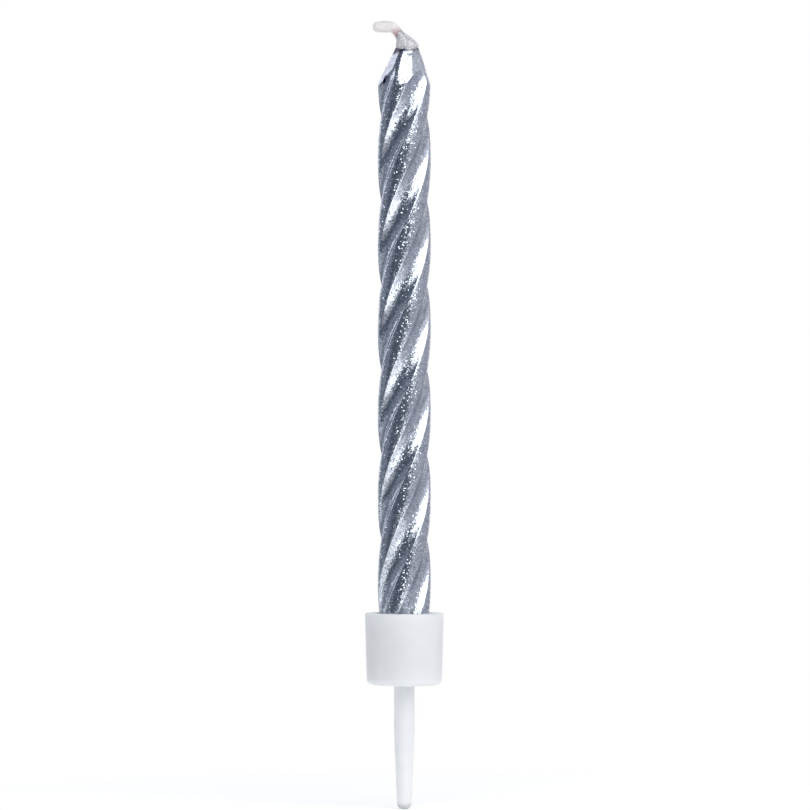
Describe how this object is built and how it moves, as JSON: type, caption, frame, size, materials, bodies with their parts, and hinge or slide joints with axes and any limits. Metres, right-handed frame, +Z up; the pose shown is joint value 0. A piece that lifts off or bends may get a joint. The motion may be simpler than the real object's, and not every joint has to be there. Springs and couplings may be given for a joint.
{
  "type": "spiral birthday candle",
  "caption": "Slim twisted wax candle with a metallic silver coat and a bent wick, in a white plastic cup holder whose spike pushes into a cake.",
  "frame": {"origin": "on the axis, at the underside of the cup, where the spike starts and the holder rests on the cake", "axes": "+Z up along the candle's axis, towards the wick; the wick's free end points along -X"},
  "size_m": [0.0074, 0.0074, 0.0744],
  "materials": {
    "holder_plastic": "satin white moulded plastic",
    "wax": "white paraffin wax, slightly translucent",
    "silver_lacquer": "glittering metallic silver lacquer",
    "wick_cotton": "waxed white cotton"
  },
  "bodies": {
    "holder": {"holder": "holder_plastic"},
    "candle": {"wax_core": "wax", "silver_coat": "silver_lacquer", "wick": "wick_cotton"}
  },
  "joints": [
    {"name": "candle_pull", "type": "slide", "parent": "holder", "child": "candle", "axis": [0, 0, 1], "range_m": [0, 0.008]}
  ]
}
